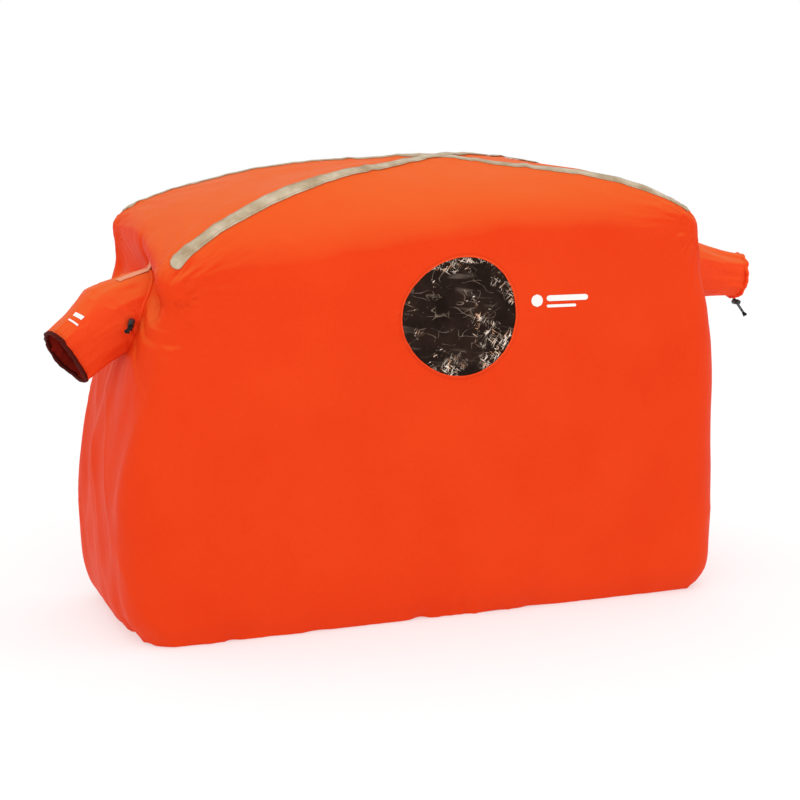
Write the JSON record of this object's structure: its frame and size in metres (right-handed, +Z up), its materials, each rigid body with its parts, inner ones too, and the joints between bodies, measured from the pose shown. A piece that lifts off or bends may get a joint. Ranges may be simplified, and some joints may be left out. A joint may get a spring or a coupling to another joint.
{
  "type": "two-person storm shelter",
  "caption": "Open-bottomed fabric emergency shelter held up by its occupants, with a clear window, crossed reflective roof tapes and a drawcord vent sleeve at each end.",
  "frame": {"origin": "on the floor, midway between the outer ends of the two vent sleeves and midway between front and back", "axes": "+Z up, +X along the length towards the right end, -Y towards the front, which has the window"},
  "size_m": [1.6448, 0.5256, 0.9492],
  "materials": {
    "shell_fabric": "satin",
    "sleeve_fabric": "satin",
    "mouth_binding": "matte",
    "seam_binding": "satin",
    "reflective_tape": "satin",
    "window_film": "gloss",
    "drawcord": "matte",
    "lock_plastic": "matte",
    "spring_wire": "satin",
    "webbing": "matte",
    "seat_fabric": "matte"
  },
  "bodies": {
    "shelter": {"back_panel": "shell_fabric", "back_skirt": "shell_fabric", "front_panel": "shell_fabric", "front_skirt": "shell_fabric", "hem_channel": "shell_fabric", "hem_cord_knot": "drawcord", "hem_cord_tails": "drawcord", "hem_drawcord": "drawcord", "left_collar_cord": "drawcord", "left_collar_cord_knot": "drawcord", "left_collar_cord_tails": "drawcord", "left_end_panel": "shell_fabric", "left_seat": "seat_fabric", "left_skirt": "shell_fabric", "left_sleeve_fold": "sleeve_fabric", "left_vent_collar": "sleeve_fabric", "left_vent_tab": "webbing", "reflective_tape_front_left": "reflective_tape", "reflective_tape_front_right": "reflective_tape", "right_collar_cord": "drawcord", "right_collar_cord_knot": "drawcord", "right_collar_cord_tails": "drawcord", "right_end_panel": "shell_fabric", "right_seat": "seat_fabric", "right_skirt": "shell_fabric", "right_sleeve_fold": "sleeve_fabric", "right_vent_collar": "sleeve_fabric", "right_vent_tab": "webbing", "roof_panel": "shell_fabric", "window_binding": "seam_binding", "window_film": "window_film"},
    "left_sleeve": {"left_mouth_cord": "drawcord", "left_mouth_cord_knot": "drawcord", "left_mouth_cord_tails": "drawcord", "left_mouth_hem": "mouth_binding", "left_sleeve_end": "sleeve_fabric"},
    "right_sleeve": {"right_mouth_cord": "drawcord", "right_mouth_cord_knot": "drawcord", "right_mouth_cord_tails": "drawcord", "right_mouth_hem": "mouth_binding", "right_sleeve_end": "sleeve_fabric"},
    "left_mouth_lock": {"left_mouth_lock_barrel": "lock_plastic", "left_mouth_lock_spring": "spring_wire"},
    "left_mouth_plunger": {"left_mouth_lock_plunger": "lock_plastic"},
    "left_collar_lock": {"left_collar_lock_barrel": "lock_plastic", "left_collar_lock_spring": "spring_wire"},
    "left_collar_plunger": {"left_collar_lock_plunger": "lock_plastic"},
    "right_mouth_lock": {"right_mouth_lock_barrel": "lock_plastic", "right_mouth_lock_spring": "spring_wire"},
    "right_mouth_plunger": {"right_mouth_lock_plunger": "lock_plastic"},
    "right_collar_lock": {"right_collar_lock_barrel": "lock_plastic", "right_collar_lock_spring": "spring_wire"},
    "right_collar_plunger": {"right_collar_lock_plunger": "lock_plastic"},
    "hem_lock": {"hem_lock_barrel": "lock_plastic", "hem_lock_spring": "spring_wire"},
    "hem_plunger": {"hem_lock_plunger": "lock_plastic"}
  },
  "joints": [
    {"name": "left_sleeve_swing", "type": "hinge", "parent": "shelter", "child": "left_sleeve", "pos_m": [-0.64385, -0.03, 0.65674], "axis": [0, 1, 0], "range_deg": [-3, 30], "deforming": ["left_sleeve_fold"]},
    {"name": "right_sleeve_swing", "type": "hinge", "parent": "shelter", "child": "right_sleeve", "pos_m": [0.60985, 0, 0.69174], "axis": [0, -1, 0], "range_deg": [-28, 8], "deforming": ["right_sleeve_fold"]},
    {"name": "left_mouth_lock_slide", "type": "slide", "parent": "left_sleeve", "child": "left_mouth_lock", "axis": [0.438, 0.8977, 0.0486], "range_m": [0, 0.023]},
    {"name": "left_mouth_plunger_press", "type": "slide", "parent": "left_mouth_lock", "child": "left_mouth_plunger", "axis": [0.616, -0.2602, -0.7435], "range_m": [0, 0.0032], "stiffness_N_per_m": 500, "springref_m": -0.003, "deforming": ["left_mouth_lock_spring"]},
    {"name": "left_collar_lock_slide", "type": "slide", "parent": "shelter", "child": "left_collar_lock", "axis": [-0.4027, -0.8838, -0.2383], "range_m": [0, 0.023]},
    {"name": "left_collar_plunger_press", "type": "slide", "parent": "left_collar_lock", "child": "left_collar_plunger", "axis": [0.1642, -0.3259, 0.9311], "range_m": [0, 0.0032], "stiffness_N_per_m": 500, "springref_m": -0.003, "deforming": ["left_collar_lock_spring"]},
    {"name": "right_mouth_lock_slide", "type": "slide", "parent": "right_sleeve", "child": "right_mouth_lock", "axis": [0.6205, 0, -0.7842], "range_m": [0, 0.023]},
    {"name": "right_mouth_plunger_press", "type": "slide", "parent": "right_mouth_lock", "child": "right_mouth_plunger", "axis": [0, 1, 0], "range_m": [0, 0.0032], "stiffness_N_per_m": 500, "springref_m": -0.003, "deforming": ["right_mouth_lock_spring"]},
    {"name": "right_collar_lock_slide", "type": "slide", "parent": "shelter", "child": "right_collar_lock", "axis": [0.4027, -0.8838, -0.2383], "range_m": [0, 0.023]},
    {"name": "right_collar_plunger_press", "type": "slide", "parent": "right_collar_lock", "child": "right_collar_plunger", "axis": [0.1642, 0.3259, -0.9311], "range_m": [0, 0.0032], "stiffness_N_per_m": 500, "springref_m": -0.003, "deforming": ["right_collar_lock_spring"]},
    {"name": "hem_lock_slide", "type": "slide", "parent": "shelter", "child": "hem_lock", "axis": [0, -1, 0], "range_m": [0, 0.023]},
    {"name": "hem_plunger_press", "type": "slide", "parent": "hem_lock", "child": "hem_plunger", "axis": [1, 0, 0], "range_m": [0, 0.0032], "stiffness_N_per_m": 500, "springref_m": -0.003, "deforming": ["hem_lock_spring"]}
  ]
}
